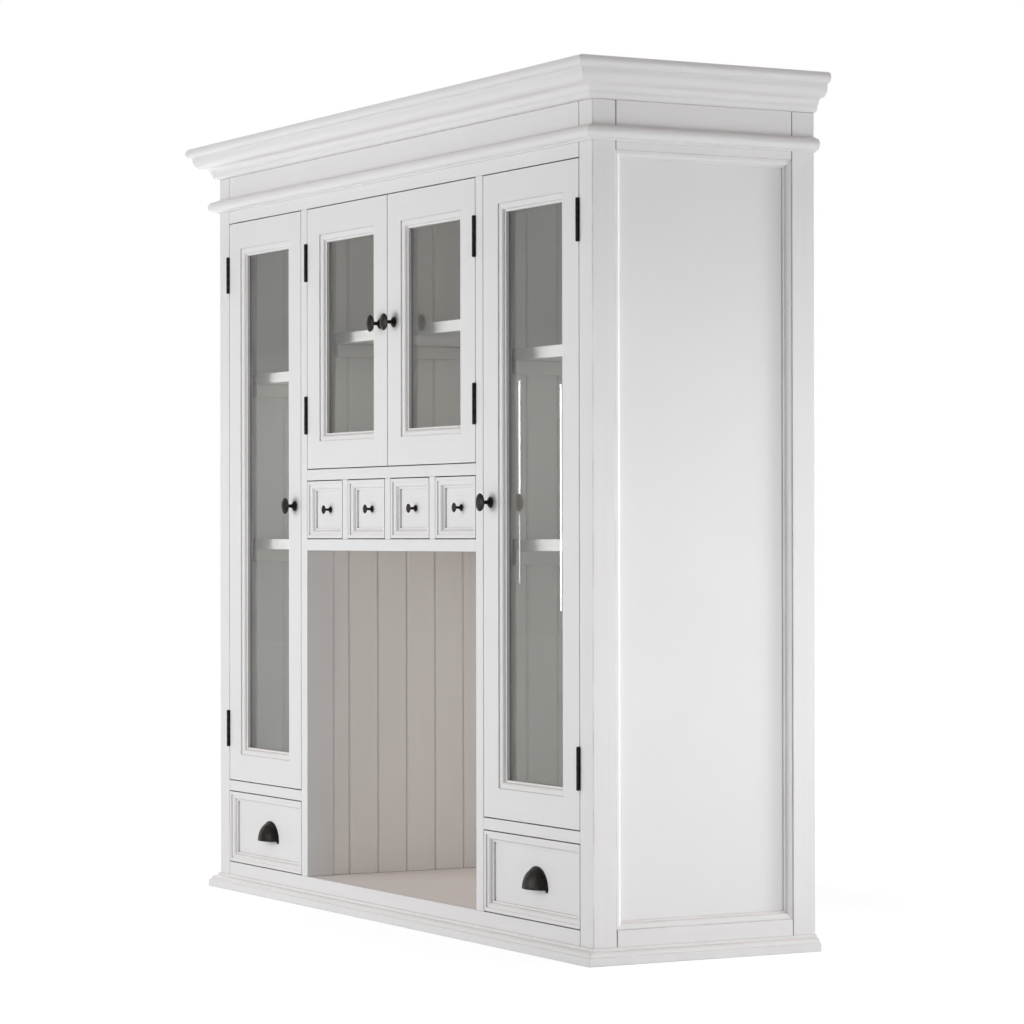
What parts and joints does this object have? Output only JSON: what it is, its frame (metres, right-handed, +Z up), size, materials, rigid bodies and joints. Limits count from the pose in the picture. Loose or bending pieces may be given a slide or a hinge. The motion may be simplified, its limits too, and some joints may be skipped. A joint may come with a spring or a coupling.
{
  "type": "dining hutch",
  "caption": "White painted dining hutch with glazed cupboard doors, small drawers over an open niche, large drawers below, and a moulded cornice.",
  "frame": {"origin": "on the floor, at the middle of the overall width and depth", "axes": "+Z up, +X to the right when facing the front, the front faces -Y"},
  "size_m": [1.45, 0.44, 1.34],
  "materials": {
    "white_paint": "satin paint",
    "pane_glass": "clear",
    "dark_iron": "satin",
    "bare_wood": "bare"
  },
  "bodies": {
    "carcass": {"back_boards": "white_paint", "base_moulding": "white_paint", "bottom_board": "white_paint", "bottom_rail": "white_paint", "cornice": "white_paint", "cupboard_floors": "white_paint", "drawer_dividers": "white_paint", "drawer_runners": "bare_wood", "face_rails": "white_paint", "front_posts": "white_paint", "hinge_frame_leaves": "dark_iron", "hinge_pins": "dark_iron", "necking": "white_paint", "partition_boards_left": "white_paint", "partition_boards_right": "white_paint", "partition_posts": "white_paint", "rear_frame": "white_paint", "shelf_cleats": "white_paint", "shelves": "white_paint", "side_frame_left": "white_paint", "side_frame_right": "white_paint", "side_panel_left": "white_paint", "side_panel_right": "white_paint", "top_board": "white_paint", "top_rail": "white_paint"},
    "door_left": {"door_left_frame": "white_paint", "door_left_glass": "pane_glass", "door_left_hinge_leaves": "dark_iron", "door_left_knob": "dark_iron", "door_left_mouldings": "white_paint"},
    "door_centre_left": {"door_centre_left_frame": "white_paint", "door_centre_left_glass": "pane_glass", "door_centre_left_hinge_leaves": "dark_iron", "door_centre_left_knob": "dark_iron", "door_centre_left_mouldings": "white_paint"},
    "door_centre_right": {"door_centre_right_frame": "white_paint", "door_centre_right_glass": "pane_glass", "door_centre_right_hinge_leaves": "dark_iron", "door_centre_right_knob": "dark_iron", "door_centre_right_mouldings": "white_paint"},
    "door_right": {"door_right_frame": "white_paint", "door_right_glass": "pane_glass", "door_right_hinge_leaves": "dark_iron", "door_right_knob": "dark_iron", "door_right_mouldings": "white_paint"},
    "small_drawer_1": {"small_drawer_1": "white_paint", "small_drawer_1_knob": "dark_iron"},
    "small_drawer_2": {"small_drawer_2": "white_paint", "small_drawer_2_knob": "dark_iron"},
    "small_drawer_3": {"small_drawer_3": "white_paint", "small_drawer_3_knob": "dark_iron"},
    "small_drawer_4": {"small_drawer_4": "white_paint", "small_drawer_4_knob": "dark_iron"},
    "side_drawer_left": {"side_drawer_left_box": "white_paint", "side_drawer_left_front": "white_paint", "side_drawer_left_pull": "dark_iron"},
    "side_drawer_right": {"side_drawer_right_box": "white_paint", "side_drawer_right_front": "white_paint", "side_drawer_right_pull": "dark_iron"}
  },
  "joints": [
    {"name": "door_left_swing", "type": "hinge", "parent": "carcass", "child": "door_left", "pos_m": [-0.63625, -0.175, 0.697], "axis": [0, 0, -1], "range_deg": [0, 110]},
    {"name": "door_centre_left_swing", "type": "hinge", "parent": "carcass", "child": "door_centre_left", "pos_m": [-0.30825, -0.175, 0.974], "axis": [0, 0, -1], "range_deg": [0, 110]},
    {"name": "door_centre_right_swing", "type": "hinge", "parent": "carcass", "child": "door_centre_right", "pos_m": [0.30825, -0.175, 0.974], "axis": [0, 0, 1], "range_deg": [0, 110]},
    {"name": "door_right_swing", "type": "hinge", "parent": "carcass", "child": "door_right", "pos_m": [0.63625, -0.175, 0.697], "axis": [0, 0, 1], "range_deg": [0, 110]},
    {"name": "small_drawer_1_slide", "type": "slide", "parent": "carcass", "child": "small_drawer_1", "axis": [0, -1, 0], "range_m": [0, 0.2]},
    {"name": "small_drawer_2_slide", "type": "slide", "parent": "carcass", "child": "small_drawer_2", "axis": [0, -1, 0], "range_m": [0, 0.2]},
    {"name": "small_drawer_3_slide", "type": "slide", "parent": "carcass", "child": "small_drawer_3", "axis": [0, -1, 0], "range_m": [0, 0.2]},
    {"name": "small_drawer_4_slide", "type": "slide", "parent": "carcass", "child": "small_drawer_4", "axis": [0, -1, 0], "range_m": [0, 0.2]},
    {"name": "side_drawer_left_slide", "type": "slide", "parent": "carcass", "child": "side_drawer_left", "axis": [0, -1, 0], "range_m": [0, 0.22]},
    {"name": "side_drawer_right_slide", "type": "slide", "parent": "carcass", "child": "side_drawer_right", "axis": [0, -1, 0], "range_m": [0, 0.22]}
  ]
}
